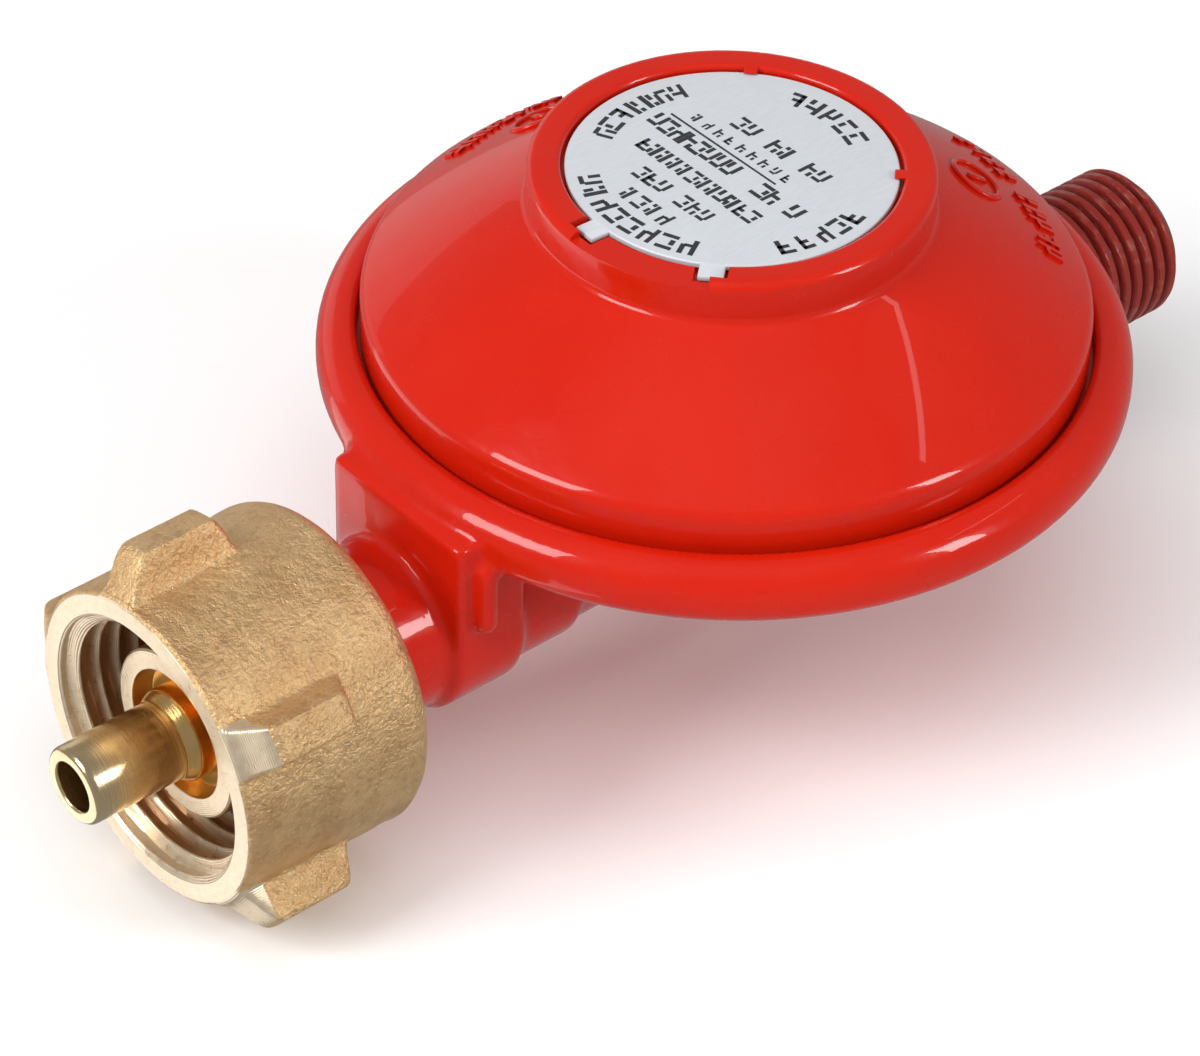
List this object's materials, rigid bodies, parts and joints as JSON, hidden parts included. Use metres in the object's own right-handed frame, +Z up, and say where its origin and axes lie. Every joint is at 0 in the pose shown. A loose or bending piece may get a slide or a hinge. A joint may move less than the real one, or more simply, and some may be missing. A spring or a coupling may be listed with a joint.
{
  "type": "gas pressure regulator",
  "caption": "Low-pressure gas regulator: round crimped two-shell housing with a diaphragm valve, a winged union nut with a nozzle on the inlet and a threaded outlet opposite.",
  "frame": {"origin": "middle of the bottom of the bounding box", "axes": "+X from the inlet nut to the outlet, along the port axis; +Z up, along the axis of the round housing towards the name plate"},
  "size_m": [0.1102, 0.0644, 0.0437],
  "materials": {
    "red_paint": "glossy orange-red powder coat over die-cast zinc",
    "label_aluminium": "satin printed aluminium",
    "zinc_plated_steel": "bright zinc plated",
    "spring_steel": "oiled spring wire",
    "black_rubber": "moulded nitrile rubber",
    "turned_brass": "bright turned",
    "cast_brass": "shot-blasted as-cast skin, machined front face",
    "red_lacquered_brass": "thin red lacquer over a brass thread",
    "sintered_bronze": "porous sintered"
  },
  "bodies": {
    "housing": {"lower_body": "red_paint", "upper_cover": "red_paint", "label_plate": "label_aluminium", "main_spring": "spring_steel", "diaphragm": "black_rubber", "lever_pin": "zinc_plated_steel", "lever_bracket": "zinc_plated_steel", "bracket_screw_1": "zinc_plated_steel", "bracket_screw_2": "zinc_plated_steel", "seat_insert": "turned_brass", "inlet_stem": "turned_brass", "stem_gasket": "black_rubber", "inlet_filter": "sintered_bronze", "outlet_nipple": "red_lacquered_brass"},
    "seat_carrier": {"spring_seat": "zinc_plated_steel"},
    "adjuster": {"adjusting_screw": "turned_brass"},
    "diaphragm_unit": {"upper_plate": "zinc_plated_steel", "lower_plate": "zinc_plated_steel", "diaphragm_stem": "turned_brass", "stem_nut": "zinc_plated_steel"},
    "lever_arm": {"lever": "zinc_plated_steel"},
    "plunger": {"valve_plunger": "turned_brass", "valve_pad": "black_rubber"},
    "nut": {"union_nut": "cast_brass"}
  },
  "joints": [
    {"name": "nut_spin", "type": "hinge", "parent": "housing", "child": "nut", "pos_m": [-0.0394, 0, 0.01551], "axis": [1, 0, 0], "continuous": true},
    {"name": "adjuster_slide", "type": "slide", "parent": "housing", "child": "seat_carrier", "axis": [0, 0, 1], "range_m": [-0.0005, 0.0005]},
    {"name": "adjuster_turn", "type": "hinge", "parent": "seat_carrier", "child": "adjuster", "pos_m": [0.00857, 0, 0.04], "axis": [0, 0, 1], "range_deg": [-180.5, 180.5]},
    {"name": "diaphragm_lift", "type": "slide", "parent": "housing", "child": "diaphragm_unit", "axis": [0, 0, 1], "range_m": [0, 0.003], "stiffness_N_per_m": 2000, "springref_m": -0.004, "deforming": ["main_spring", "diaphragm"]},
    {"name": "lever_swing", "type": "hinge", "parent": "housing", "child": "lever_arm", "pos_m": [0.01858, 0, 0.02051], "axis": [0, 1, 0], "range_deg": [0, 17.25]},
    {"name": "plunger_slide", "type": "slide", "parent": "housing", "child": "plunger", "axis": [-1, 0, 0], "range_m": [0, 0.00152]}
  ],
  "couplings": [
    {"joint": "adjuster_turn", "follows": "adjuster_slide", "rad_per_m": 6283.2},
    {"joint": "lever_swing", "follows": "diaphragm_lift", "rad_per_m": 100},
    {"joint": "plunger_slide", "follows": "diaphragm_lift", "ratio": 0.5}
  ]
}
